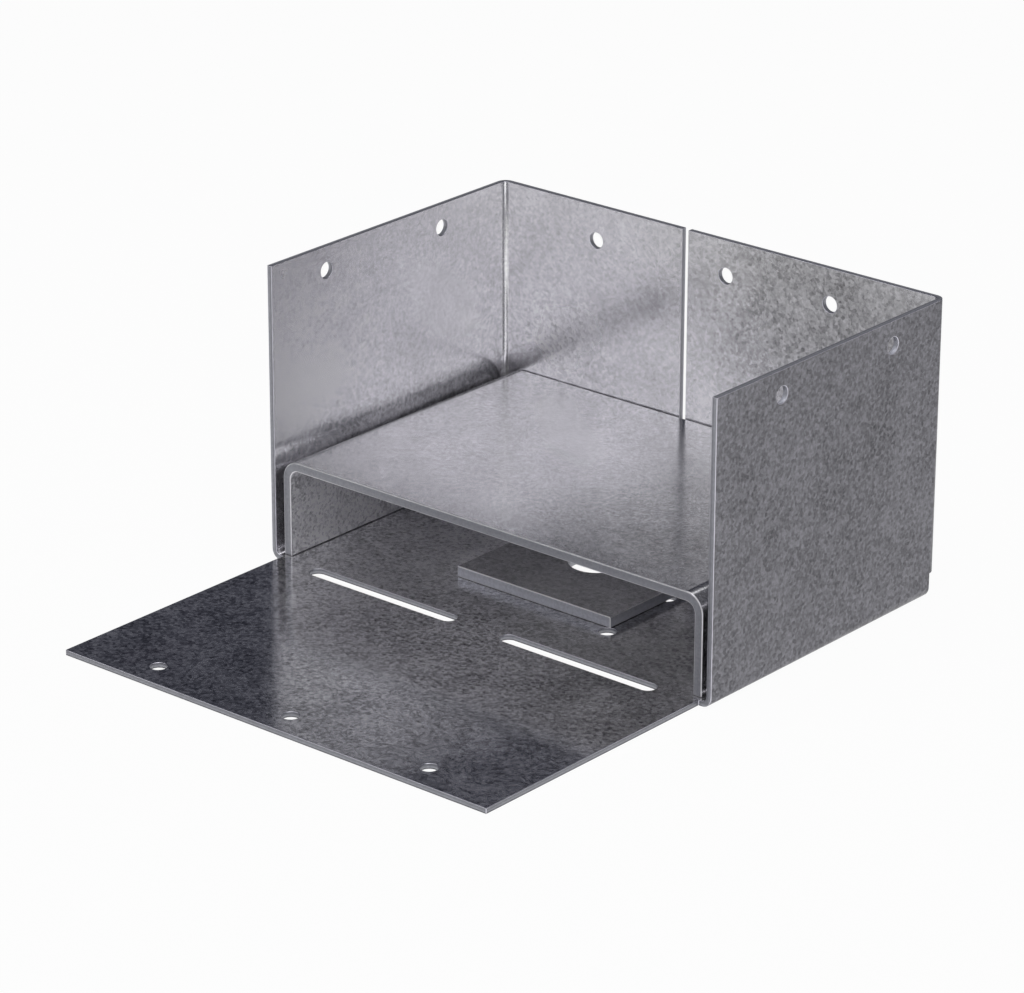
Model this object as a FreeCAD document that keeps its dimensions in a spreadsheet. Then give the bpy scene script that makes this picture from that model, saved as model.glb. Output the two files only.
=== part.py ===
"""Post base for a nominal 4 x 6 timber post, as supplied with its front wall still lying flat.

Three loose pieces:
  wrap_box       one folded sheet: base, two side walls, their return flanges that make the back, front flap
  standoff       a thicker folded channel that stands on the base and keeps the post's end off the concrete
  bearing_plate  a flat square washer plate that covers the anchor slot

Frame: millimetres, +Z up, the side walls face -X and +X, the flap lies toward -Y.
The origin is the anchor bolt's axis at the underside of the base.
"""
import FreeCAD, Part
import Sketcher
import math
import os

# Driving sizes in millimetres: alias, value, meaning.
SIZES = [
    ("post_width", 139.7, "width of the dressed post, from side wall to side wall"),
    ("post_depth", 88.9, "depth of the dressed post, from the fold to the back wall"),
    ("post_width_play", 1.6, "the clear width's excess over the post"),
    ("post_depth_play", 2.1, "the clear depth's excess over the post"),
    ("wall_height", 80.2, "top edge of the side and back walls above the underside"),
    ("box_sheet", 1.5, "sheet of the wrap box"),
    ("box_bend", 1.3, "inside bend radius of the wrap box"),
    ("relief_height", 6.6, "bottom edge of the return flanges above the underside"),
    ("back_gap", 1.9, "open gap between the two return flanges"),
    ("back_gap_offset", 9.4, "middle of that gap to the left of the anchor axis"),
    ("flap_length", 78.5, "flap in front of the side walls' front edges"),
    ("flap_inset", 0.95, "flap's side edges inboard of the side walls' bends"),
    ("fold_slot_length", 48.8, "overall length of a fold slot"),
    ("fold_slot_width", 4.6, "width of a fold slot"),
    ("fold_slot_spacing", 64.2, "between the middles of the two fold slots"),
    ("fold_line", 2.0, "fold line in front of the side walls' front edges"),
    ("nail", 4.1, "shank of a nail"),
    ("nail_play", 0.3, "a nail hole's excess over the nail"),
    ("side_hole_drop", 6.5, "side wall holes below the top edge"),
    ("side_hole_spacing", 44.8, "between the two holes of a side wall"),
    ("left_hole_setback", 20.6, "first left hole behind the front edge"),
    ("right_hole_setback", 25.4, "first right hole behind the front edge"),
    ("back_hole_drop", 9.7, "back wall holes below the top edge"),
    ("left_back_hole_inset", 31.5, "left return flange's hole from the left side wall"),
    ("right_back_hole_inset", 33.3, "right return flange's outer hole from the right side wall"),
    ("right_back_hole_spacing", 33.4, "between the right return flange's two holes"),
    ("flap_hole_edge", 7.9, "flap holes behind the flap's front edge"),
    ("flap_hole_spacing", 44.1, "between neighbouring flap holes"),
    ("anchor_bolt", 12.7, "shank of the anchor bolt"),
    ("bolt_play", 1.6, "the bearing plate hole's excess over the bolt"),
    ("slot_play", 4.8, "the anchor slot's excess over the bolt, across"),
    ("slot_travel", 14.3, "how far the bolt can be moved along the anchor slot, past that"),
    ("pilot_hole", 4.6, "diameter of the two press pilot holes in the base"),
    ("front_pilot_offset", 25.8, "front pilot hole to the right of the anchor axis"),
    ("front_pilot_reach", 27.2, "front pilot hole in front of the anchor axis"),
    ("rear_pilot_offset", 24.0, "rear pilot hole to the right of the anchor axis"),
    ("rear_pilot_reach", 0.9, "rear pilot hole in front of the anchor axis"),
    ("standoff_sheet", 2.6, "sheet of the standoff"),
    ("standoff_bend", 2.6, "inside bend radius of the standoff"),
    ("standoff_height", 26.6, "top of the standoff above the base's upper face"),
    ("standoff_left_gap", 1.7, "clearance between the left leg and the left side wall"),
    ("standoff_right_gap", 2.4, "clearance between the right leg and the right side wall"),
    ("standoff_front_gap", 1.2, "standoff behind the side walls' front edges"),
    ("standoff_back_gap", 0.4, "clearance between the standoff and the back wall"),
    ("plate_side", 50.6, "side of the square bearing plate"),
    ("plate_sheet", 3.0, "thickness of the bearing plate"),
]

VOLUME_TOLERANCE = 0.01


class Size:
    """A length: its value in millimetres, and the expression that ties it to the sheet."""

    def __init__(self, value, text):
        self.value = value
        self.text = text

    def __add__(self, other):
        other = as_size(other)
        return Size(self.value + other.value, f"({self.text} + {other.text})")

    def __sub__(self, other):
        other = as_size(other)
        return Size(self.value - other.value, f"({self.text} - {other.text})")

    def __mul__(self, number):
        return Size(self.value * number, f"({self.text} * {number})")

    def __truediv__(self, number):
        return Size(self.value / number, f"({self.text} / {number})")

    def __neg__(self):
        return self * -1


def as_size(number):
    """A plain number is a length that nothing changes."""
    return number if isinstance(number, Size) else Size(number, str(number))


ZERO = as_size(0)


def fill_sheet(document):
    """Write the driving sizes into a spreadsheet, and return them by alias."""
    sheet = document.addObject("Spreadsheet::Sheet", "dims")
    lengths = {}
    for row, (alias, value, meaning) in enumerate(SIZES, start=1):
        sheet.set(f"A{row}", str(value))
        sheet.setAlias(f"A{row}", alias)
        sheet.set(f"B{row}", meaning)
        lengths[alias] = Size(value, f"dims.{alias}")
    document.recompute()
    return lengths


def new_body(document, name, base=(ZERO, ZERO, ZERO)):
    """A body whose Placement is tied to three lengths."""
    body = document.addObject("PartDesign::Body", name)
    body.Label = name
    for axis, length in zip("xyz", base):
        body.setExpression(f"Placement.Base.{axis}", length.text)
    return body


def new_sketch(body, name, plane, offset=ZERO):
    """A sketch on one of the body's own origin planes, moved along that plane's normal."""
    sketch = body.newObject("Sketcher::SketchObject", name)
    support = next(item for item in body.Origin.OriginFeatures if item.Role == plane)
    sketch.AttachmentSupport = [(support, "")]
    sketch.MapMode = "FlatFace"
    sketch.setExpression("AttachmentOffset.Base.z", offset.text)
    return sketch


def tie(sketch, kind, length, *where):
    """Add a dimension to a sketch and bind it to the sheet."""
    index = sketch.addConstraint(Sketcher.Constraint(kind, *where, length.value))
    sketch.setExpression(f"Constraints[{index}]", length.text)


def tie_point(sketch, element, point, spot):
    """Hold a point of a sketch element at a spot measured from the sketch's origin."""
    tie(sketch, "DistanceX", spot[0], -1, 1, element, point)
    tie(sketch, "DistanceY", spot[1], -1, 1, element, point)


def join(sketch, here, here_point, there, there_point):
    """Keep two elements' ends together."""
    sketch.addConstraint(Sketcher.Constraint("Coincident", here, here_point, there, there_point))


def vector(spot):
    """A sketch point from a pair of lengths."""
    return FreeCAD.Vector(spot[0].value, spot[1].value, 0)


def circle_at(centre, radius):
    """A circle in the sketch's plane."""
    return Part.Circle(vector(centre), FreeCAD.Vector(0, 0, 1), radius.value)


def angle_at(centre, spot):
    """The direction from a centre to a spot, in radians."""
    way = vector(spot) - vector(centre)
    return math.atan2(way.y, way.x)


def add_line(sketch, start, end):
    """A straight edge: its index, and which of its points is the start and which the end."""
    return sketch.addGeometry(Part.LineSegment(vector(start), vector(end))), 1, 2


def add_arc(sketch, start, end, centre, radius, clockwise):
    """A bend's edge, as add_line gives it. An arc's own points always run anticlockwise."""
    first, last = (end, start) if clockwise else (start, end)
    from_angle = angle_at(centre, first)
    to_angle = angle_at(centre, last)
    if to_angle < from_angle:
        to_angle += 2 * math.pi
    arc = sketch.addGeometry(Part.ArcOfCircle(circle_at(centre, radius), from_angle, to_angle))
    tie(sketch, "Radius", radius, arc)
    return (arc, 2, 1) if clockwise else (arc, 1, 2)


def heading(start, end):
    """Which way a level or upright line runs: a pair of -1, 0 or 1."""
    step = vector(end) - vector(start)
    return round(step.x / step.Length), round(step.y / step.Length)


def moved(spot, way, distance):
    """A spot moved some distance along a heading."""
    return tuple(part + distance * sign if sign else part for part, sign in zip(spot, way))


def add_outline(sketch, corners):
    """A closed outline of level and upright lines, whose corners are (spot, bend radius or None)."""
    spots = [spot for spot, _ in corners]
    arrivals = [heading(spots[number - 1], spot) for number, spot in enumerate(spots)]
    departures = arrivals[1:] + arrivals[:1]
    starts, edges = [], []
    for number, ((spot, radius), arrive, leave) in enumerate(zip(corners, arrivals, departures)):
        line_start = spot
        if radius:
            arc_start = moved(spot, arrive, -radius)
            line_start = moved(spot, leave, radius)
            centre = moved(arc_start, leave, radius)
            clockwise = arrive[0] * leave[1] < arrive[1] * leave[0]
            starts.append(arc_start)
            edges.append(add_arc(sketch, arc_start, line_start, centre, radius, clockwise))
        next_spot, next_radius = corners[(number + 1) % len(corners)]
        line_end = moved(next_spot, leave, -next_radius) if next_radius else next_spot
        starts.append(line_start)
        edges.append(add_line(sketch, line_start, line_end))
    for start, (edge, first, last), (after, after_first, _) in zip(starts, edges, edges[1:] + edges[:1]):
        tie_point(sketch, edge, first, start)
        sketch.addConstraint(Sketcher.Constraint("Coincident", edge, last, after, after_first))


def add_rectangle(sketch, low, high):
    """A closed rectangle between two opposite corners."""
    corners = (low, (high[0], low[1]), high, (low[0], high[1]))
    add_outline(sketch, [(spot, None) for spot in corners])


def add_circle(sketch, centre, diameter):
    """A round hole's outline."""
    element = sketch.addGeometry(circle_at(centre, diameter / 2))
    tie_point(sketch, element, 3, centre)
    tie(sketch, "Diameter", diameter, element)


def add_slot(sketch, centre, length, width):
    """A round-ended slot that runs along the sketch's first axis."""
    reach = (length - width) / 2
    arcs = []
    for side, first in ((1, -math.pi / 2), (-1, math.pi / 2)):
        middle = (centre[0] + reach * side, centre[1])
        end = Part.ArcOfCircle(circle_at(middle, width / 2), first, first + math.pi)
        arc = sketch.addGeometry(end)
        tie_point(sketch, arc, 3, middle)
        tie(sketch, "Radius", width / 2, arc)
        for point in (1, 2):
            sketch.addConstraint(Sketcher.Constraint("Vertical", arc, point, arc, 3))
        arcs.append(arc)
    for here, there in (arcs, arcs[::-1]):
        line = Part.LineSegment(sketch.getPoint(here, 2), sketch.getPoint(there, 1))
        edge = sketch.addGeometry(line)
        sketch.addConstraint(Sketcher.Constraint("Coincident", here, 2, edge, 1))
        sketch.addConstraint(Sketcher.Constraint("Coincident", edge, 2, there, 1))


def pad(body, sketch, length, reverse=False):
    """Raise a sketch by a length."""
    feature = body.newObject("PartDesign::Pad", sketch.Name + "_pad")
    feature.Profile = sketch
    feature.setExpression("Length", length.text)
    feature.Reversed = reverse
    feature.Refine = True
    body.Document.recompute()


def punch(body, sketch, reverse=False):
    """Cut a sketch through everything on one side of its plane, and make sure that it did cut."""
    before = body.Shape.Volume
    feature = body.newObject("PartDesign::Pocket", sketch.Name + "_cut")
    feature.Profile = sketch
    feature.Type = "ThroughAll"
    feature.Reversed = reverse
    feature.Refine = True
    body.Document.recompute()
    if body.Shape.Volume > before - VOLUME_TOLERANCE:
        raise RuntimeError(f"{feature.Name} cuts nothing")


def punch_rounds(body, name, plane, spots, diameter, reverse=False):
    """Punch a set of equal round holes."""
    sketch = new_sketch(body, name, plane)
    for spot in spots:
        add_circle(sketch, spot, diameter)
    punch(body, sketch, reverse)


def channel_outline(sketch, half_width, web_face, web_inside, leg_end, sheet, bend):
    """A folded channel's section: a level web and two upright legs."""
    outer_bend = bend + sheet
    inside = half_width - sheet
    add_outline(sketch, [
        ((-half_width, leg_end), None),
        ((-half_width, web_face), outer_bend),
        ((half_width, web_face), outer_bend),
        ((half_width, leg_end), None),
        ((inside, leg_end), None),
        ((inside, web_inside), bend),
        ((-inside, web_inside), bend),
        ((-inside, leg_end), None),
    ])


def wall_outline(sketch, side, half_width, front, back, free_end, sheet, bend):
    """A side wall's plan with its return flange: along the side, round the bend, along the back."""
    outer_bend = bend + sheet
    face = half_width * side
    inside = (half_width - sheet) * side
    add_outline(sketch, [
        ((face, front), None),
        ((face, back), outer_bend),
        ((free_end, back), None),
        ((free_end, back - sheet), None),
        ((inside, back - sheet), bend),
        ((inside, front), None),
    ])


class Seat:
    """Where the post stands: what the three pieces share."""

    def __init__(self, size):
        self.width = size["post_width"] + size["post_width_play"]
        self.depth = size["post_depth"] + size["post_depth_play"]
        self.front = -size["post_depth"] / 2
        self.back = self.front + self.depth


def fold_wrap_box(body, size, seat):
    """The folded form: a shallow tray, two walls with return flanges, and the flat flap."""
    sheet = size["box_sheet"]
    bend = size["box_bend"]
    half_width = seat.width / 2 + sheet
    back_face = seat.back + sheet
    tray_back = seat.back - bend

    tray = new_sketch(body, "base_tray", "XZ_Plane", -seat.front)
    channel_outline(tray, half_width, ZERO, sheet, size["relief_height"], sheet, bend)
    pad(body, tray, tray_back - seat.front, reverse=True)

    walls = new_sketch(body, "walls_and_returns", "XY_Plane", size["relief_height"])
    for side in (1, -1):
        free_end = -size["back_gap_offset"] + size["back_gap"] / 2 * side
        wall_outline(walls, side, half_width, seat.front, back_face, free_end, sheet, bend)
    pad(body, walls, size["wall_height"] - size["relief_height"])

    flap = new_sketch(body, "front_flap", "XY_Plane")
    flap_side = seat.width / 2 - bend - size["flap_inset"]
    flap_front = seat.front - size["flap_length"]
    add_rectangle(flap, (-flap_side, flap_front), (flap_side, seat.front))
    pad(body, flap, sheet)


def punch_nail_holes(body, size, seat):
    """Nail holes along the tops of the walls and the front of the flap."""
    hole = size["nail"] + size["nail_play"]

    flap_line = seat.front - size["flap_length"] + size["flap_hole_edge"]
    spots = [(size["flap_hole_spacing"] * step, flap_line) for step in (-1, 0, 1)]
    punch_rounds(body, "flap_nail_holes", "XY_Plane", spots, hole, reverse=True)

    level = size["wall_height"] - size["side_hole_drop"]
    for wall, reverse in (("left", False), ("right", True)):
        first = seat.front + size[f"{wall}_hole_setback"]
        spots = [(first, level), (first + size["side_hole_spacing"], level)]
        punch_rounds(body, f"{wall}_nail_holes", "YZ_Plane", spots, hole, reverse)

    level = size["wall_height"] - size["back_hole_drop"]
    left = size["left_back_hole_inset"] - seat.width / 2
    right = seat.width / 2 - size["right_back_hole_inset"]
    spots = [(across, level) for across in (left, right - size["right_back_hole_spacing"], right)]
    punch_rounds(body, "back_nail_holes", "XZ_Plane", spots, hole)


def punch_base(body, size, seat):
    """Fold slots, anchor slot and pilot holes in the base."""
    fold_slots = new_sketch(body, "fold_slots", "XY_Plane")
    for side in (1, -1):
        middle = (size["fold_slot_spacing"] / 2 * side, seat.front - size["fold_line"])
        add_slot(fold_slots, middle, size["fold_slot_length"], size["fold_slot_width"])
    punch(body, fold_slots, reverse=True)

    anchor_slot = new_sketch(body, "anchor_slot", "XY_Plane")
    slot_width = size["anchor_bolt"] + size["slot_play"]
    add_slot(anchor_slot, (ZERO, ZERO), slot_width + size["slot_travel"], slot_width)
    punch(body, anchor_slot, reverse=True)

    spots = [(size[f"{place}_pilot_offset"], -size[f"{place}_pilot_reach"]) for place in ("front", "rear")]
    punch_rounds(body, "pilot_holes", "XY_Plane", spots, size["pilot_hole"], reverse=True)


def build_wrap_box(document, size, seat):
    """Base, side walls, return flanges and flap, all from one folded sheet."""
    body = new_body(document, "wrap_box")
    fold_wrap_box(body, size, seat)
    punch_nail_holes(body, size, seat)
    punch_base(body, size, seat)
    return body


def build_standoff(document, size, seat):
    """An inverted channel that stands on the base between the walls."""
    sheet = size["standoff_sheet"]
    height = size["standoff_height"]
    gaps = size["standoff_left_gap"] + size["standoff_right_gap"]
    middle = (size["standoff_left_gap"] - size["standoff_right_gap"]) / 2
    front = seat.front + size["standoff_front_gap"]
    body = new_body(document, "standoff", (middle, front, size["box_sheet"]))
    section = new_sketch(body, "standoff_section", "XZ_Plane")
    half_width = (seat.width - gaps) / 2
    channel_outline(section, half_width, height, height - sheet, ZERO, sheet, size["standoff_bend"])
    pad(body, section, seat.back - size["standoff_back_gap"] - front, reverse=True)
    return body


def build_bearing_plate(document, size, seat):
    """A square plate with one bolt hole, lying on the base over the anchor slot."""
    body = new_body(document, "bearing_plate", (ZERO, ZERO, size["box_sheet"]))
    half_side = size["plate_side"] / 2
    outline = new_sketch(body, "plate_outline", "XY_Plane")
    add_rectangle(outline, (-half_side, -half_side), (half_side, half_side))
    pad(body, outline, size["plate_sheet"])
    bolt_hole = size["anchor_bolt"] + size["bolt_play"]
    punch_rounds(body, "bolt_hole", "XY_Plane", [(ZERO, ZERO)], bolt_hole, reverse=True)
    return body


def check_document(document, bodies):
    """Stop if any object failed, or if a piece isn't one valid solid."""
    for item in document.Objects:
        if "Invalid" in item.State or "Error" in item.State:
            raise RuntimeError(f"{item.Name} failed: {item.State}")
    for body in bodies:
        shape = body.Shape
        if shape.isNull() or not shape.isValid() or len(shape.Solids) != 1:
            raise RuntimeError(f"{body.Label} isn't one valid solid")


def main():
    """Build the three pieces and write one STEP file for each."""
    document = FreeCAD.newDocument("timber_post_base")
    size = fill_sheet(document)
    seat = Seat(size)
    builders = (build_wrap_box, build_standoff, build_bearing_plate)
    bodies = [build(document, size, seat) for build in builders]
    document.recompute()
    check_document(document, bodies)
    os.makedirs("parts", exist_ok=True)
    for body in bodies:
        body.Shape.exportStep(f"parts/{body.Label}.step")
        box = body.Shape.BoundBox
        print(f"{body.Label}: {body.Shape.Volume:.1f} mm3, x {box.XMin:.2f} to {box.XMax:.2f}, "
              f"y {box.YMin:.2f} to {box.YMax:.2f}, z {box.ZMin:.2f} to {box.ZMax:.2f}")


main()
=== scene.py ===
"""A timber post base of folded galvanised sheet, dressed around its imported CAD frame.

The object is three pressings: a wrap box that holds the foot of the post, a channel-shaped
standoff that keeps the timber off the concrete, and a square bearing plate under the nut of
the anchor bolt. All their forms are in the CAD, so each pressing keeps its CAD node. Here
every node gets its welded and lightly broken arrises, its zinc skin and its sheared edges.

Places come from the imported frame. The pressings and their finishes are given in millimetres,
the studio in metres, and angles in degrees. X is across the box, Y along it from the flap in
front to the back wall, and Z is the height.
"""

import logging
import math
from abc import ABC, abstractmethod
from dataclasses import dataclass, field
from enum import Enum
from typing import Any

import bpy
from mathutils import Matrix, Vector


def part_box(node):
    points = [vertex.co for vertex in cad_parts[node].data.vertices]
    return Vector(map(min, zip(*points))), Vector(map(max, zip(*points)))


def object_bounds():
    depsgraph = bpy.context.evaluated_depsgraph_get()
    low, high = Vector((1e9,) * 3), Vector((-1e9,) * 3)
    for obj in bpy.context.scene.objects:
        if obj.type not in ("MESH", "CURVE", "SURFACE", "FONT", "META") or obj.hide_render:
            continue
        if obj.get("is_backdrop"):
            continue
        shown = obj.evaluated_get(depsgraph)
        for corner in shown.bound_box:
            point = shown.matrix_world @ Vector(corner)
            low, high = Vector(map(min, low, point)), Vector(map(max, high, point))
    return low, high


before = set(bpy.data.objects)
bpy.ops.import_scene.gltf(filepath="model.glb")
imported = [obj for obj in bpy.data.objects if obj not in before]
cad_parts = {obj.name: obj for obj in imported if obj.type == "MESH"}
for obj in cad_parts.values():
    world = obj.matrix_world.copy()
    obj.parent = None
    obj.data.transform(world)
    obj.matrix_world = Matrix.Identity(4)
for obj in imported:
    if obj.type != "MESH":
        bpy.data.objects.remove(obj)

LOG = logging.getLogger("post_base")
MM = 0.001

Triple = tuple[float, float, float]


class Rays(Enum):
    """The kinds of ray that see the pale background, as Light Path names them."""

    CAMERA = "Is Camera Ray"
    GLOSSY = "Is Glossy Ray"
    TRANSMISSION = "Is Transmission Ray"


def corners(node: str) -> tuple[Triple, Triple]:
    """Lowest and highest corner of a CAD node in millimetres."""
    low, high = (tuple(float(part) / MM for part in corner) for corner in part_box(node))
    return low, high


# ---------------------------------------------------------------- node arithmetic


@dataclass
class Wire:
    """One value inside a node tree. Python's arithmetic on it adds the matching Math node.

    Args:
        tree: The node tree that the value belongs to.
        socket: The output socket that gives the value.
    """

    tree: bpy.types.NodeTree
    socket: bpy.types.NodeSocket

    def _math(self, how: str, *others: "Wire | float") -> "Wire":
        """Adds a Math node on this value and the others, and returns its result."""
        node = self.tree.nodes.new("ShaderNodeMath")
        node.operation = how
        self.tree.links.new(self.socket, node.inputs[0])
        for place, other in enumerate(others, start=1):
            plug(self.tree, other, node.inputs[place])
        return Wire(self.tree, node.outputs[0])

    def __add__(self, other: "Wire | float") -> "Wire":
        """Sum of the two values."""
        return self._math("ADD", other)

    def __sub__(self, other: "Wire | float") -> "Wire":
        """Difference of the two values."""
        return self._math("SUBTRACT", other)

    def __mul__(self, other: "Wire | float") -> "Wire":
        """Product of the two values."""
        return self._math("MULTIPLY", other)

    __radd__, __rmul__ = __add__, __mul__

    def __neg__(self) -> "Wire":
        """The value with its sign turned."""
        return self * -1.0

    def __rsub__(self, other: float) -> "Wire":
        """The plain number less this value."""
        return -self + other

    def __abs__(self) -> "Wire":
        """Size of the value without its sign."""
        return self._math("ABSOLUTE")

    def over(self, other: "Wire | float") -> "Wire":
        """The larger of the two values."""
        return self._math("MAXIMUM", other)

    def under(self, other: "Wire | float") -> "Wire":
        """The smaller of the two values."""
        return self._math("MINIMUM", other)

    def past(self, limit: float) -> "Wire":
        """One where the value is past the limit, and nought elsewhere."""
        return self._math("GREATER_THAN", limit)

    def swing(self, weight: float) -> "Wire":
        """How far a pattern of 0..1 is from its middle, times a weight."""
        return (self - 0.5) * weight

    def ramp(self, low: float, high: float, to_low: float = 0.0, to_high: float = 1.0) -> "Wire":
        """Carries low..high to to_low..to_high by an S-shaped ramp that is held at both ends."""
        node = self.tree.nodes.new("ShaderNodeMapRange")
        node.interpolation_type = "SMOOTHSTEP"
        self.tree.links.new(self.socket, node.inputs["Value"])
        for name, number in zip(("From Min", "From Max", "To Min", "To Max"),
                                (low, high, to_low, to_high)):
            node.inputs[name].default_value = number
        return Wire(self.tree, node.outputs["Result"])


def plug(tree: bpy.types.NodeTree, value: Any, socket: bpy.types.NodeSocket) -> None:
    """Puts a value on an input socket, as a link for a Wire and as a setting for a number.

    Args:
        tree: The node tree that the socket is in.
        value: A Wire, a number, or a tuple for a colour or vector.
        socket: The input socket.
    """
    if isinstance(value, Wire):
        tree.links.new(value.socket, socket)
    else:
        socket.default_value = value


@dataclass(frozen=True)
class Grain:
    """A fractal pattern.

    Args:
        size: Width of its blotches in millimetres.
        detail: Number of finer layers on it.
        rough: Strength of each finer layer against the last.
        seed: Number that tells it from the other patterns.
    """

    size: float
    detail: float = 2.0
    rough: float = 0.5
    seed: float = 0.0


@dataclass
class Bench:
    """Where one material is put together: its tree, and its places and directions as values.

    Args:
        tree: The material's node tree, with only a shader and its output so far.
    """

    tree: bpy.types.NodeTree
    millimetres: bpy.types.Node = field(init=False)

    def __post_init__(self) -> None:
        """Adds the coordinates that every pattern shares."""
        coords = self.tree.nodes.new("ShaderNodeTexCoord")
        self.millimetres = self._vector("SCALE", coords.outputs["Object"])
        self.millimetres.inputs["Scale"].default_value = 1.0 / MM

    def _vector(self, how: str, start: bpy.types.NodeSocket,
                other: Triple | None = None) -> bpy.types.Node:
        """Adds a Vector Math node on a vector, and on a second one if it is given."""
        node = self.tree.nodes.new("ShaderNodeVectorMath")
        node.operation = how
        self.tree.links.new(start, node.inputs[0])
        if other is not None:
            node.inputs[1].default_value = other
        return node

    def _split(self, socket: bpy.types.NodeSocket) -> tuple[Wire, Wire, Wire]:
        """Takes a vector apart into its three values."""
        node = self.tree.nodes.new("ShaderNodeSeparateXYZ")
        self.tree.links.new(socket, node.inputs[0])
        return tuple(Wire(self.tree, out) for out in node.outputs)

    def place(self) -> tuple[Wire, Wire, Wire]:
        """Across, along and height of the point on the object, in millimetres."""
        return self._split(self.millimetres.outputs[0])

    def facing(self) -> tuple[Wire, Wire, Wire]:
        """The three parts of the direction that the surface faces."""
        node = self.tree.nodes.new("ShaderNodeNewGeometry")
        return self._split(node.outputs["True Normal"])

    def cloud(self, grain: Grain, stretch: float = 1.0) -> Wire:
        """Fractal noise of 0..1.

        Args:
            grain: The pattern.
            stretch: How many times wider than stated its blotches are.

        Returns:
            The noise.
        """
        node = self.tree.nodes.new("ShaderNodeTexNoise")
        node.noise_dimensions = "4D"
        self.tree.links.new(self.millimetres.outputs[0], node.inputs["Vector"])
        for name, number in (("Scale", 1.0 / (grain.size * stretch)), ("Detail", grain.detail),
                             ("Roughness", grain.rough), ("W", grain.seed)):
            node.inputs[name].default_value = number
        return Wire(self.tree, node.outputs["Fac"])

    def crystals(self, size: float) -> Wire:
        """One random value of 0..1 for each zinc crystal, about size millimetres across."""
        node = self.tree.nodes.new("ShaderNodeTexVoronoi")
        self.tree.links.new(self.millimetres.outputs[0], node.inputs["Vector"])
        node.inputs["Scale"].default_value = 1.0 / size
        return self._split(node.outputs["Color"])[0]

    def near(self, painted_spot: "PaintedPatch") -> Wire:
        """One at the middle of a painted patch on the object, falling to nought at its rim."""
        away = self._vector("SUBTRACT", self.millimetres.outputs[0], painted_spot.centre)
        eased = self._vector("MULTIPLY", away.outputs[0], (1.0, 1.0 / painted_spot.along, 1.0))
        length = self._vector("LENGTH", eased.outputs[0])
        return Wire(self.tree, length.outputs["Value"]).ramp(0.0, painted_spot.reach, 1.0, 0.0)

    def blend(self, share: Wire | float, first: Any, second: Any, colour: bool = False) -> Wire:
        """Mixes two values or two colours.

        Args:
            share: Share of the second one.
            first: The value or colour at a share of 0.
            second: The value or colour at a share of 1.
            colour: Whether the two are colours.

        Returns:
            The mix.
        """
        node = self.tree.nodes.new("ShaderNodeMix")
        node.data_type = "RGBA" if colour else "FLOAT"
        sides = (6, 7) if colour else (2, 3)
        for value, place in zip((share, first, second), (0, *sides)):
            plug(self.tree, value, node.inputs[place])
        return Wire(self.tree, node.outputs[2 if colour else 0])

    def tinted(self, tint: Triple, strength: Wire) -> Wire:
        """A colour of the given tint, made lighter or darker by a value."""
        node = self.tree.nodes.new("ShaderNodeVectorMath")
        node.operation = "SCALE"
        node.inputs[0].default_value = tint
        plug(self.tree, strength, node.inputs["Scale"])
        return Wire(self.tree, node.outputs[0])


@dataclass
class Zones:
    """Where on a pressing a material has its sides and its edges, as values of 0..1.

    Args:
        outside: Share of the side that faces away from the fold.
        cut: Share of sheared edge.
        depth: Way through the sheet, from 0 at the outer side to 1 at the inner side.
        flat: Share of level floor.
        bent: Share of folded skin that shows.
        hole_light: Share of the wall of a nail hole, which gets the edge's painted light and
            shade.
    """

    outside: Wire
    cut: Wire
    depth: Wire
    flat: Wire
    bent: Wire | float = 0.0
    hole_light: Wire | float = 0.0


# ---------------------------------------------------------------- finishes


GRIT = Grain(0.9, detail=3.0, rough=0.6, seed=3.0)
BLOTCH = Grain(11.0, seed=7.0)
SHEAR_DRAG = Grain(0.7, seed=5.0)
NICKS = Grain(2.2, detail=3.0, rough=0.6, seed=19.0)


@dataclass(frozen=True)
class ZincSide:
    """The zinc skin on one side of the sheet.

    Args:
        tone: How much light the skin throws back, 0..1.
        roughness: Spread of its reflections.
        mottle: Share by which the spangle makes it lighter or darker on a wall.
        scuff: The same share on a level floor, where the sheet lay on others.
        oxide: Share of the skin that is matt oxide where its patches are thickest.
        polish: How much narrower its reflections are on a level floor than on a wall.
        tint: Colour of the zinc at full tone.
    """

    tone: float
    roughness: float
    mottle: float
    scuff: float
    oxide: float
    polish: float = 0.0
    tint: Triple = (0.997, 0.988, 1.02)


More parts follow.
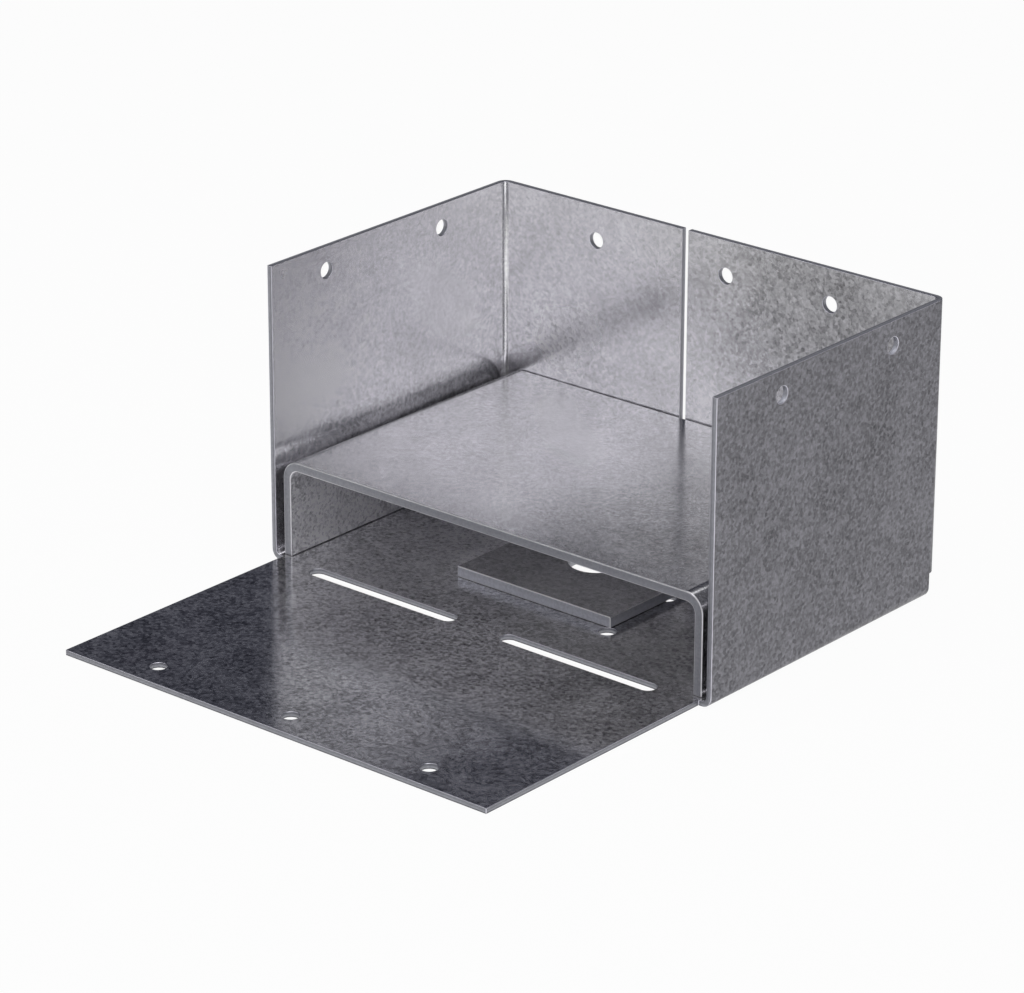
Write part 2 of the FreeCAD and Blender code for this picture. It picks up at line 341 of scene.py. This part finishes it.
@dataclass(frozen=True)
class SteelEdge:
    """The sheared edge of the sheet: a smooth burnished zone, then a torn zone.

    Args:
        burnished: Tone of the smooth zone.
        torn: Tone of the torn zone.
        bare: Share of the edge that is bare metal and not matt.
        lip_shade: Share by which the lip on the underside of a level floor is painted darker, a
            painted shade where the floor meets the ground.
        roughness: Spread of its reflections.
        tear: Where the torn zone begins, as a share of the depth through the sheet.
        fade: Half the width of the passage between the zones, as such a share.
        lip: Where the lip begins and ends, as such shares.
        drag: Share by which the shear's drag marks make it lighter and darker.
        hole_light: Tone of the nail holes' walls where they face up, painted bright as a painted
            highlight.
        hole_shade: Share of that tone that is left where a hole's wall doesn't face up, as
            painted shade.
        rising: How much a wall faces up where it begins to be lighter, and where it ends.
        tint: Colour of the edge at full tone.
    """

    burnished: float
    torn: float
    bare: float
    lip_shade: float = 0.0
    roughness: float = 0.42
    tear: float = 0.55
    fade: float = 0.12
    lip: tuple[float, float] = (0.12, 0.34)
    drag: float = 0.5
    hole_light: float = 0.95
    hole_shade: float = 0.45
    rising: tuple[float, float] = (0.2, 0.9)
    tint: Triple = (0.955, 0.965, 1.06)

    def tone(self, bench: Bench, zones: Zones) -> Wire:
        """Works out how light the edge is.

        Args:
            bench: The material being made.
            zones: Where the pressing has its edges.

        Returns:
            The tone, which only holds on the edges.
        """
        shear = zones.depth.ramp(self.tear - self.fade, self.tear + self.fade)
        steel = bench.blend(shear, self.burnished, self.torn)
        steel = steel * (bench.cloud(SHEAR_DRAG).swing(self.drag) + 1.0)
        # The nail holes' walls are painted bright where they face up and darker where they don't:
        # painted light and shade.
        lit = bench.facing()[2].ramp(*self.rising, self.hole_shade, 1.0)
        steel = bench.blend(zones.hole_light, steel, lit * self.hole_light)
        # The lip along the bottom of the floor's cut edges is painted darker, a painted shade
        # where the floor meets the ground.
        lip = zones.depth.ramp(*self.lip, 1.0, 0.0) * zones.flat
        return steel * (1.0 - lip * self.lip_shade)


@dataclass(frozen=True)
class PaintedPatch:
    """A soft patch of painted light and shade: the skin is painted lighter for a gain above 0 and
    darker below it, and its reflections can spread.
        reach: Distance at which it has faded out, in millimetres.
        gain: Share by which it lightens the skin at its middle, or darkens it below 0.
        grain: Share that it adds to the contrast of the spangle.
        haze: How much it spreads the reflections.
        outer: Share of it that shows on the outer side too.
        along: How many times longer it is from the front to the back.
    """

    centre: Triple
    reach: float
    gain: float
    grain: float = 0.0
    haze: float = 0.0
    outer: float = 0.0
    along: float = 1.0


@dataclass(frozen=True)
class ZincFinish:
    """Galvanised sheet with its two sides, its cut edges and its brightly worn arrises.

    Args:
        name: The material's name.
        inner: Skin on the side that faces into the fold.
        outer: Skin on the side that faces away from it.
        edge: The sheared edges.
        arris: Tone of the rubbed arrises.
        crystal: Width of one zinc crystal in millimetres.
        ground_shade: Share by which the arrises that face down close to the ground are painted
            darker, a painted shade.
        ground_reach: Height in millimetres up to which they are.
        stretch: Share of matt skin that the folding leaves on the bends.
        bend_highlight: Share by which the skin on the bends is painted lighter, a painted
            highlight along the folds.
        painted_patches: Soft patches of painted light and shade.
        spangle: How much the crystals, the grit and the blotches count in the pattern.
        cloudy: How much the blotches spread or narrow the reflections.
        patchy: How much the oxide follows the spangle, and its share between.
        relief: Height of the spangle in millimetres.
        relief_share: Share of that height that shows.
        facets: Height of the crystals against that of the grit.
        nicked: Share by which small nicks make the arrises lighter and darker.
        rub: Spread of the arrises' reflections, and how much the nicks add to it.
        beneath: How much an arris faces down where it begins to be dark, and where it is.
    """

    name: str
    inner: ZincSide
    outer: ZincSide
    edge: SteelEdge
    arris: float
    crystal: float = 0.9
    ground_shade: float = 0.8
    ground_reach: float = 4.0
    stretch: float = 0.0
    bend_highlight: float = 0.2
    painted_patches: tuple[PaintedPatch, ...] = ()
    spangle: Triple = (0.9, 2.4, 1.1)
    cloudy: float = 0.06
    patchy: tuple[float, float] = (0.4, 0.6)
    relief: float = 0.02
    relief_share: float = 0.25
    facets: float = 0.3
    nicked: float = 0.5
    rub: tuple[float, float] = (0.25, 0.2)
    beneath: tuple[float, float] = (0.1, 0.5)

    def _zinc(self, bench: Bench, zones: Zones, pattern: Wire) -> tuple[Wire, Wire, Wire]:
        """Works out the skin of the two sides.

        Args:
            bench: The material being made.
            zones: Where the pressing has its sides.
            pattern: The spangle, about 0 in its middle.

        Returns:
            The skin's tone, its roughness and its share of matt oxide.
        """
        outside, flat = zones.outside, zones.flat
        inner, outer = self.inner, self.outer
        mottle = bench.blend(outside, bench.blend(flat, inner.mottle, inner.scuff),
                             bench.blend(flat, outer.mottle, outer.scuff))
        tone = bench.blend(outside, inner.tone, outer.tone)
        rough = bench.blend(outside, inner.roughness - flat * inner.polish,
                            outer.roughness - flat * outer.polish)
        # The painted patches paint light and shade onto the skin, and some spread its
        # reflections.
        for painted_spot in self.painted_patches:
            share = bench.near(painted_spot) * bench.blend(outside, 1.0, painted_spot.outer)
            tone = tone * (share * painted_spot.gain + 1.0)
            mottle = mottle + share * painted_spot.grain
            rough = rough + share * painted_spot.haze
        # The spangle mottles the tone, and the bends are painted lighter, a painted highlight
        # along the folds.
        tone = tone * (mottle * pattern + 1.0) * (zones.bent * self.bend_highlight + 1.0)
        patches = (pattern * self.patchy[0] + self.patchy[1]).ramp(0.0, 1.0)
        oxide = bench.blend(outside, inner.oxide, outer.oxide) * patches
        return tone, rough, oxide.over(zones.bent * self.stretch)

    def skin(self, fold: "Pressing") -> bpy.types.Material:
        """Builds the material for the sheet's faces and its cut edges.

        Args:
            fold: The pressing whose form says where its sides and edges are.

        Returns:
            The finished material.
        """
        material, shader = blank_material(self.name)
        tree = material.node_tree
        bench = Bench(tree)
        zones = fold.zones(bench)
        fine = bench.crystals(self.crystal)
        grit = bench.cloud(GRIT, self.crystal)
        blotch = bench.cloud(BLOTCH)
        pattern = (fine.swing(self.spangle[0]) + grit.swing(self.spangle[1])
                   + blotch.swing(self.spangle[2]))
        tone, rough, oxide = self._zinc(bench, zones, pattern)
        tone = bench.blend(zones.cut, tone, self.edge.tone(bench, zones))
        rough = bench.blend(zones.cut, rough + blotch.swing(self.cloudy), self.edge.roughness)
        colour = bench.blend(zones.outside, bench.tinted(self.inner.tint, tone),
                             bench.tinted(self.outer.tint, tone), colour=True)
        colour = bench.blend(zones.cut, colour, bench.tinted(self.edge.tint, tone), colour=True)
        plug(tree, colour, shader.inputs["Base Color"])
        plug(tree, rough, shader.inputs["Roughness"])
        plug(tree, bench.blend(zones.cut, 1.0 - oxide, self.edge.bare), shader.inputs["Metallic"])
        bump = tree.nodes.new("ShaderNodeBump")
        bump.inputs["Strength"].default_value = self.relief_share
        bump.inputs["Distance"].default_value = self.relief * MM
        plug(tree, grit + fine * self.facets, bump.inputs["Height"])
        tree.links.new(bump.outputs[0], shader.inputs["Normal"])
        return material

    def rubbed(self) -> bpy.types.Material:
        """Builds the material for the narrow arrises, rubbed brighter than the skin.

        Returns:
            The finished material.
        """
        material, shader = blank_material(self.name + "_arris")
        tree = material.node_tree
        bench = Bench(tree)
        nicks = bench.cloud(NICKS)
        # Arrises that face down close to the ground are painted darker, a painted shade.
        low_down = (-bench.place()[2]).past(-self.ground_reach)
        under = (-bench.facing()[2]).ramp(*self.beneath) * low_down
        tone = (nicks.swing(self.nicked) + self.arris) * (1.0 - under * self.ground_shade)
        plug(tree, bench.tinted(self.outer.tint, tone), shader.inputs["Base Color"])
        plug(tree, nicks * self.rub[1] + self.rub[0], shader.inputs["Roughness"])
        shader.inputs["Metallic"].default_value = 1.0
        return material


def blank_material(name: str) -> tuple[bpy.types.Material, bpy.types.Node]:
    """Makes a material that holds only a Principled shader and its output.

    Args:
        name: The material's name.

    Returns:
        The material and its shader node.
    """
    material = bpy.data.materials.new(name)
    material.use_nodes = True
    tree = material.node_tree
    tree.nodes.clear()
    out = tree.nodes.new("ShaderNodeOutputMaterial")
    shader = tree.nodes.new("ShaderNodeBsdfPrincipled")
    tree.links.new(shader.outputs[0], out.inputs[0])
    return material, shader


# ---------------------------------------------------------------- the finish of each pressing


BOX_SHEET, STANDOFF_SHEET, PLATE_SHEET = 1.5, 2.6, 3.0

BOX_LOW, BOX_HIGH = corners("wrap_box")
STANDOFF_LOW, STANDOFF_HIGH = corners("standoff")

# The faces that have patches of painted light and shade, by the X, the Y or the height that each
# of them stands at.
LEFT_WALL = BOX_LOW[0] + BOX_SHEET
BACK_WALL = BOX_HIGH[1] - BOX_SHEET
BASE_TOP = BOX_LOW[2] + BOX_SHEET
STANDOFF_LEFT = STANDOFF_LOW[0]
STANDOFF_TOP = STANDOFF_HIGH[2]

COOL_ZINC = (0.985, 0.972, 1.07)

# Painted shade over most of the back wall, strongest at its upper right, and a little painted
# light low at its left end.
BACK_WALL_SHADING = (
    PaintedPatch((20.0, BACK_WALL, 84.0), reach=55.0, gain=-0.44, grain=0.25, haze=0.06),
    PaintedPatch((58.0, BACK_WALL, 72.0), reach=44.0, gain=-0.38, grain=0.20, haze=0.08),
    PaintedPatch((32.0, BACK_WALL, 54.0), reach=44.0, gain=-0.20, grain=0.28, haze=0.08),
    PaintedPatch((-25.0, BACK_WALL, 84.0), reach=40.0, gain=-0.14),
    PaintedPatch((-4.0, BACK_WALL, 50.0), reach=28.0, gain=-0.09),
    PaintedPatch((-44.0, BACK_WALL, 44.0), reach=36.0, gain=0.05, haze=0.07),
    PaintedPatch((-18.0, BACK_WALL, 33.0), reach=18.0, gain=-0.12),
    PaintedPatch((-54.0, BACK_WALL, 38.0), reach=26.0, gain=0.12, grain=0.15, haze=0.04),
)

# Painted light over the left wall's front and top, and a thin line of painted shade along it just
# above the standoff.
LEFT_WALL_SHADING = (
    PaintedPatch((LEFT_WALL, -50.0, 66.0), reach=88.0, gain=0.33, haze=0.08),
    PaintedPatch((LEFT_WALL, -36.0, 41.0), reach=26.0, gain=0.20),
    PaintedPatch((LEFT_WALL, -10.0, 48.0), reach=22.0, gain=0.06),
    PaintedPatch((LEFT_WALL, 0.0, 29.0), reach=5.5, gain=-0.24, grain=0.2, along=30.0),
)

# Painted shade over the front and right of the box's floor, and painted light at its left where
# the standoff begins.
BASE_SHADING = (
    PaintedPatch((45.0, -30.0, BASE_TOP), reach=42.0, gain=-0.45),
    PaintedPatch((0.0, -34.0, BASE_TOP), reach=42.0, gain=-0.04, grain=0.12, haze=0.09),
    PaintedPatch((-37.0, 0.0, BASE_TOP), reach=26.0, gain=0.30),
    PaintedPatch((4.0, -22.0, BASE_TOP), reach=30.0, gain=-0.32),
    PaintedPatch((56.0, -68.0, BASE_TOP), reach=34.0, gain=-0.22),
)

# Painted shade over the right half of the standoff's top, and a thin line of painted shade along
# its left side just under the top.
STANDOFF_SHADING = (
    PaintedPatch((50.0, -26.0, STANDOFF_TOP), reach=62.0, gain=-0.30, grain=0.30, outer=1.0),
    PaintedPatch((34.0, 32.0, STANDOFF_TOP), reach=46.0, gain=-0.24, outer=1.0),
    PaintedPatch((-44.0, 32.0, STANDOFF_TOP), reach=34.0, gain=-0.07, outer=1.0),
    PaintedPatch((STANDOFF_LEFT, 0.0, 23.5), reach=5.0, gain=-0.45, outer=1.0, along=30.0),
)

# The box's two sides are lit and shaded copies of one zinc: the inner side is painted light and
# the outer side painted shade.
BOX_ZINC = ZincFinish(
    "galvanised_sheet",
    inner=ZincSide(tone=0.75, roughness=0.19, mottle=0.24, scuff=0.68, oxide=0.11, polish=0.05),
    outer=ZincSide(tone=0.195, roughness=0.40, mottle=0.66, scuff=0.66, oxide=0.30,
                   tint=COOL_ZINC),
    edge=SteelEdge(burnished=0.40, torn=0.30, bare=0.40, lip_shade=0.75),
    arris=0.70,
    stretch=0.25,
    bend_highlight=0.33,
    painted_patches=BACK_WALL_SHADING + LEFT_WALL_SHADING + BASE_SHADING,
)

STANDOFF_ZINC = ZincFinish(
    "galvanised_bright",
    inner=ZincSide(tone=0.95, roughness=0.34, mottle=0.45, scuff=0.30, oxide=0.72),
    outer=ZincSide(tone=0.715, roughness=0.19, mottle=0.40, scuff=0.26, oxide=0.12),
    edge=SteelEdge(burnished=0.31, torn=0.34, bare=0.35),
    arris=0.8,
    crystal=0.7,
    ground_shade=0.65,
    stretch=0.2,
    painted_patches=STANDOFF_SHADING,
)

PLATE_ZINC = ZincFinish(
    "galvanised_plate",
    inner=ZincSide(tone=0.6, roughness=0.40, mottle=0.3, scuff=0.3, oxide=0.15),
    outer=ZincSide(tone=0.52, roughness=0.22, mottle=0.5, scuff=0.5, oxide=0.12),
    edge=SteelEdge(burnished=0.68, torn=0.60, bare=0.25),
    arris=1.0,
)


# ---------------------------------------------------------------- the three pressings


# Places in a CAD node's list of materials. The second one is added here.
SKIN_SLOT, ARRIS_SLOT = 0, 1

# How much a face looks out of its sheet's plane where a cut edge begins, and where it is full.
CUT_EDGE = (0.3, 0.6)


@dataclass
class Pressing(ABC):
    """One pressing of the post base, which keeps its CAD node and gets its finish.

    Args:
        node: Name of the CAD node.
        sheet: Thickness of its sheet in millimetres.
        arris: Width of its broken edges in millimetres.
        finish: The zinc finish that it wears.
        sharp: Least angle between two faces whose edge is broken, in degrees.
        steps: Number of facets across a broken edge.
        plain: Greatest angle between the facets of one plain face, in degrees.
        weld: Distance in millimetres within which loose corners are joined.
    """

    node: str
    sheet: float
    arris: float
    finish: ZincFinish
    sharp: float = 40.0
    steps: int = 2
    plain: float = 0.5
    weld: float = 0.001

    @abstractmethod
    def zones(self, bench: Bench) -> Zones:
        """Says in a material where the pressing has its sides and its cut edges.

        A fold's outer side faces away from its middle. A cut edge is where the surface
        faces across the sheet's thickness: along the sheet in a flat part, and along the
        line of the fold in a bend.

        Args:
            bench: The material being made.

        Returns:
            The zones.
        """

    def break_arrises(self, piece: bpy.types.Object) -> None:
        """Welds the loose faces and rounds every sharp arris, in modifiers only.

        Args:
            piece: The CAD node's object.
        """
        weld = piece.modifiers.new("weld", "WELD")
        weld.merge_threshold = self.weld * MM
        plain = piece.modifiers.new("plain_faces", "DECIMATE")
        plain.decimate_type = "DISSOLVE"
        plain.angle_limit = math.radians(self.plain)
        bevel = piece.modifiers.new("broken_arrises", "BEVEL")
        bevel.width = self.arris * MM
        bevel.segments = self.steps
        bevel.limit_method = "ANGLE"
        bevel.angle_limit = math.radians(self.sharp)
        bevel.harden_normals = True
        bevel.material = ARRIS_SLOT

    def dress(self) -> bpy.types.Object:
        """Gives the CAD node its arrises and its materials.

        Returns:
            The dressed piece.
        """
        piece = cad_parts[self.node]
        piece.data.materials.append(self.finish.rubbed())
        piece.material_slots[SKIN_SLOT].material = self.finish.skin(self)
        self.break_arrises(piece)
        LOG.info("%s: %d faces in the frame, arris %.2f mm", piece.name,
                 len(piece.data.polygons), self.arris)
        return piece


@dataclass
class WrapBox(Pressing):
    """The box round the post's foot: base, flap, two side walls and their return flanges.

    Args:
        bend: Inner radius of its folds in millimetres.
        wall_front: Y of the side walls' front edges, in millimetres.
        rim: Width in millimetres of the strip along a wall's edges that has no nail hole.
        back_from: Y in millimetres past which a face that looks back is an outer one.
        back_arm: Weight of that rule, as a lever in millimetres.
    """

    node: str = "wrap_box"
    sheet: float = BOX_SHEET
    arris: float = 0.18
    finish: ZincFinish = BOX_ZINC
    bend: float = 1.3
    wall_front: float = -44.45
    rim: float = 3.0
    back_from: float = 40.0
    back_arm: float = 30.0

    def zones(self, bench: Bench) -> Zones:
        """Says in a material where the box has its sides and its cut edges.

        The folds split the box into its floor, its side walls, its back wall and the
        corners between those two. A face's own direction then says what it is there: it is
        cut where it looks along its sheet, and in a corner where it looks up or down.

        Args:
            bench: The material being made.

        Returns:
            The zones.
        """
        across, along, height = bench.place()
        face_x, face_y, face_z = bench.facing()
        sideways, lengthways, level = abs(face_x), abs(face_y), abs(face_z)
        low, high = corners(self.node)
        away = (across - (low[0] + high[0]) / 2.0) * face_x
        away = away + (height - (low[2] + high[2]) / 2.0) * face_z
        behind = face_y * (along - self.back_from).past(0.0) * self.back_arm
        outside = (away + behind).past(0.0)

        fold = self.sheet + self.bend
        side = (abs(across) - (high[0] - fold)).past(0.0)
        back = (along - (high[1] - fold)).past(0.0)
        raised = (height - fold).past(0.0)
        flat = (1.0 - side) * (1.0 - back)
        side_wall, back_wall, corner = side * (1.0 - back), back * (1.0 - side), side * back
        walls_cut = (side_wall * (1.0 - sideways) + back_wall * (1.0 - lengthways)
                     + corner * level)
        foot_cut = side * lengthways + back_wall * sideways
        cut = (flat * (1.0 - level) + raised * (1.0 - flat) * walls_cut
               + (1.0 - raised) * foot_cut)

        depth = (high[0] - abs(across)).under(high[1] - along).under(height)
        inland = ((along - (self.wall_front + self.rim)).past(0.0)
                  * (high[2] - self.rim - height).past(0.0))
        hole_light = side_wall * inland * raised * across.past(0.0)
        bent = corner * raised * (1.0 - outside)
        return Zones(outside, cut.ramp(*CUT_EDGE), depth * (1.0 / self.sheet), flat, bent,
                     hole_light)


@dataclass
class Standoff(Pressing):
    """The channel that stands on the base and keeps the post's end off the concrete.

    Args:
        foot: Height in millimetres up to which a face that looks down is a cut edge.
        down: How much such a face looks down at the least.
        end: How much a face looks forward or back where a cut end begins, and is full.
        slant: How even a face's tilt is where a bend begins, and where it is full.
        straight: How much a face looks forward or back that can't be a bend.
    """

    node: str = "standoff"
    sheet: float = STANDOFF_SHEET
    arris: float = 0.3
    finish: ZincFinish = STANDOFF_ZINC
    foot: float = 0.3
    down: float = 0.5
    end: tuple[float, float] = (0.4, 0.7)
    slant: tuple[float, float] = (0.1, 0.6)
    straight: float = 0.3

    def zones(self, bench: Bench) -> Zones:
        """Says in a material where the channel has its sides, its bends and its cut edges.

        Args:
            bench: The material being made.

        Returns:
            The zones.
        """
        across, _, height = bench.place()
        face_x, face_y, face_z = bench.facing()
        sideways, lengthways, level = abs(face_x), abs(face_y), abs(face_z)
        low, high = corners(self.node)
        off_middle = across - (low[0] + high[0]) / 2.0
        off_level = height - (low[2] + high[2]) / 2.0
        outside = (off_middle * face_x + off_level * face_z).past(0.0)
        depth = (high[2] - height).under((high[0] - low[0]) / 2.0 - abs(off_middle))
        feet = (-face_z).past(self.down) * (low[2] + self.foot - height).past(0.0)
        slanted = (1.0 - abs(sideways - level)).ramp(*self.slant)
        bent = slanted * (1.0 - lengthways.past(self.straight))
        return Zones(outside, lengthways.ramp(*self.end).over(feet),
                     depth * (1.0 / self.sheet), level, bent)


@dataclass
class BearingPlate(Pressing):
    """The square plate that spreads the anchor nut's load over the slotted base."""

    node: str = "bearing_plate"
    sheet: float = PLATE_SHEET
    arris: float = 0.25
    finish: ZincFinish = PLATE_ZINC

    def zones(self, bench: Bench) -> Zones:
        """Says in a material where the plate has its upper side and its cut edges.

        Args:
            bench: The material being made.

        Returns:
            The zones.
        """
        _, _, height = bench.place()
        _, _, face_z = bench.facing()
        low, _ = corners(self.node)
        level = abs(face_z)
        depth = (height - low[2]) * (1.0 / self.sheet)
        return Zones(face_z.past(0.0), (1.0 - level).ramp(*CUT_EDGE), depth, level)


# ---------------------------------------------------------------- studio


@dataclass
class Softbox:
    """A square soft lamp that faces the object and that the camera doesn't see.

    Args:
        name: The lamp's name.
        azimuth: Degrees to the right of the object's front.
        elevation: Degrees above the floor.
        distance: Metres from the object's middle.
        width: Side of the lamp in metres.
        level: How bright its face is, where 1 is white.
    """

    name: str
    azimuth: float
    elevation: float
    distance: float
    width: float
    level: float

    def place(self, aim: Vector) -> bpy.types.Object:
        """Makes the lamp and turns it to the object.

        Args:
            aim: The point that the lamp faces.

        Returns:
            The lamp.
        """
        lamp = bpy.data.lights.new(self.name, "AREA")
        lamp.shape, lamp.size = "SQUARE", self.width
        lamp.energy = self.level * math.pi * self.width ** 2
        piece = bpy.data.objects.new(self.name, lamp)
        turn, rise = math.radians(self.azimuth), math.radians(self.elevation)
        away = Vector((math.sin(turn) * math.cos(rise), -math.cos(turn) * math.cos(rise),
                       math.sin(rise)))
        piece.location = aim + away * self.distance
        piece.rotation_euler = away.to_track_quat("Z", "Y").to_euler()
        piece.visible_camera = False
        bpy.context.scene.collection.objects.link(piece)
        return piece


@dataclass
class Studio:
    """The pale floor, the soft light and the camera.

    Args:
        reach: Half the side of the floor in metres.
        drop: Gap in millimetres between the floor and the object.
        floor_tone: Share of light that the floor throws back.
        shade_share: Share of the floor's tone that comes from the light on it.
        ambient: Level of the even light from all round.
        ambient_tint: Colour of that light.
        bounces: Most reflections that a ray follows from metal to metal.
        lens: Focal length in millimetres.
        film: Width in millimetres of the picture behind the lens.
        clip: Nearest and farthest distance that the camera sees, in metres.
        eye: Where the camera stands, in metres.
        azimuth: Degrees from which the camera sees the front, to the right.
        elevation: Degrees that the camera looks down.
        roll: Degrees that the camera leans.
        softboxes: The soft lamps.
    """

    reach: float = 6.0
    drop: float = 0.15
    floor_tone: float = 0.80
    shade_share: float = 0.04
    ambient: float = 0.035
    ambient_tint: Triple = (0.86, 0.91, 1.34)
    bounces: int = 12
    lens: float = 162.254
    film: float = 36.0
    clip: tuple[float, float] = (0.05, 50.0)
    eye: Triple = (0.688540, -0.844604, 0.465602)
    azimuth: float = 40.3293
    elevation: float = 22.1336
    roll: float = 0.1496
    softboxes: tuple[Softbox, ...] = (
        Softbox("key_softbox", azimuth=42.0, elevation=34.0, distance=1.3, width=1.1, level=1.2),
        Softbox("fill_softbox", azimuth=-42.0, elevation=30.0, distance=1.3, width=1.0,
                level=0.31),
        Softbox("rim_softbox", azimuth=140.0, elevation=30.0, distance=1.3, width=1.0,
                level=0.16),
        Softbox("left_card", azimuth=-33.7, elevation=27.0, distance=0.405, width=0.16,
                level=0.85),
        Softbox("top_softbox", azimuth=40.0, elevation=86.0, distance=1.3, width=1.2, level=1.8),
    )

    def seen(self, tree: bpy.types.NodeTree) -> Wire:
        """One for the rays that see the background itself, and nought for the others.

        Args:
            tree: The floor's node tree.

        Returns:
            The value.
        """
        path = tree.nodes.new("ShaderNodeLightPath")
        camera, glossy, transmission = (Wire(tree, path.outputs[kind.value]) for kind in Rays)
        return camera.over(glossy).over(transmission)

    def floor_material(self) -> bpy.types.Material:
        """Builds the floor's material: white to look at, and a pale matt in the light.

        Returns:
            The finished material.
        """
        material = bpy.data.materials.new("pale_floor")
        material.use_nodes = True
        tree = material.node_tree
        tree.nodes.clear()
        out = tree.nodes.new("ShaderNodeOutputMaterial")
        shade = tree.nodes.new("ShaderNodeBsdfDiffuse")
        shade.inputs["Color"].default_value = (*(self.floor_tone,) * 3, 1.0)
        pale = tree.nodes.new("ShaderNodeEmission")
        pale.inputs["Color"].default_value = (1.0, 1.0, 1.0, 1.0)
        mix = tree.nodes.new("ShaderNodeMixShader")
        plug(tree, self.seen(tree) * (1.0 - self.shade_share), mix.inputs[0])
        tree.links.new(shade.outputs[0], mix.inputs[1])
        tree.links.new(pale.outputs[0], mix.inputs[2])
        tree.links.new(mix.outputs[0], out.inputs[0])
        return material

    def lay_floor(self) -> bpy.types.Object:
        """Lays a plain square floor just under the object.

        Returns:
            The floor.
        """
        side, level = self.reach, -self.drop * MM
        mesh = bpy.data.meshes.new("floor")
        mesh.from_pydata([(-side, -side, level), (side, -side, level), (side, side, level),
                          (-side, side, level)], [], [(0, 1, 2, 3)])
        mesh.materials.append(self.floor_material())
        floor = bpy.data.objects.new("floor", mesh)
        bpy.context.scene.collection.objects.link(floor)
        floor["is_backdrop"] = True
        return floor

    def light_world(self) -> bpy.types.World:
        """Lights the object evenly from all round at a low level.

        Returns:
            The world.
        """
        world = bpy.data.worlds.new("studio")
        bpy.context.scene.world = world
        world.use_nodes = True
        background = world.node_tree.nodes["Background"]
        background.inputs["Color"].default_value = (*self.ambient_tint, 1.0)
        background.inputs["Strength"].default_value = self.ambient
        return world

    def stand_camera(self) -> bpy.types.Object:
        """Stands the camera at its place, looking down at the object.

        The camera's three axes are worked out from its azimuth and elevation, then turned
        about the line of sight by its roll.

        Returns:
            The camera.
        """
        turn, tip, lean = (math.radians(a) for a in (self.azimuth, self.elevation, self.roll))
        right = Vector((math.cos(turn), math.sin(turn), 0.0))
        ahead = Vector((-math.sin(turn) * math.cos(tip), math.cos(turn) * math.cos(tip),
                        -math.sin(tip)))
        up = right.cross(ahead)
        across = right * math.cos(lean) + up * math.sin(lean)
        upward = up * math.cos(lean) - right * math.sin(lean)
        lens = bpy.data.cameras.new("camera")
        lens.sensor_width, lens.lens = self.film, self.lens
        lens.clip_start, lens.clip_end = self.clip
        camera = bpy.data.objects.new("camera", lens)
        axes = Matrix((across, upward, -ahead)).transposed().to_4x4()
        camera.matrix_world = Matrix.Translation(self.eye) @ axes
        bpy.context.scene.collection.objects.link(camera)
        bpy.context.scene.camera = camera
        return camera

    def build(self) -> None:
        """Sets up the camera, the floor and the light."""
        bpy.context.scene.view_settings.view_transform = "Standard"
        bpy.context.scene.cycles.glossy_bounces = self.bounces
        low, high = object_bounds()
        self.stand_camera()
        self.lay_floor()
        self.light_world()
        for softbox in self.softboxes:
            softbox.place((low + high) / 2.0)


def main() -> None:
    """Builds the studio and dresses the three pressings."""
    logging.basicConfig(level=logging.INFO, format="%(name)s: %(message)s")
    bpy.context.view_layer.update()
    Studio().build()
    for pressing in (WrapBox(), Standoff(), BearingPlate()):
        pressing.dress()


if __name__ == "__main__":
    main()
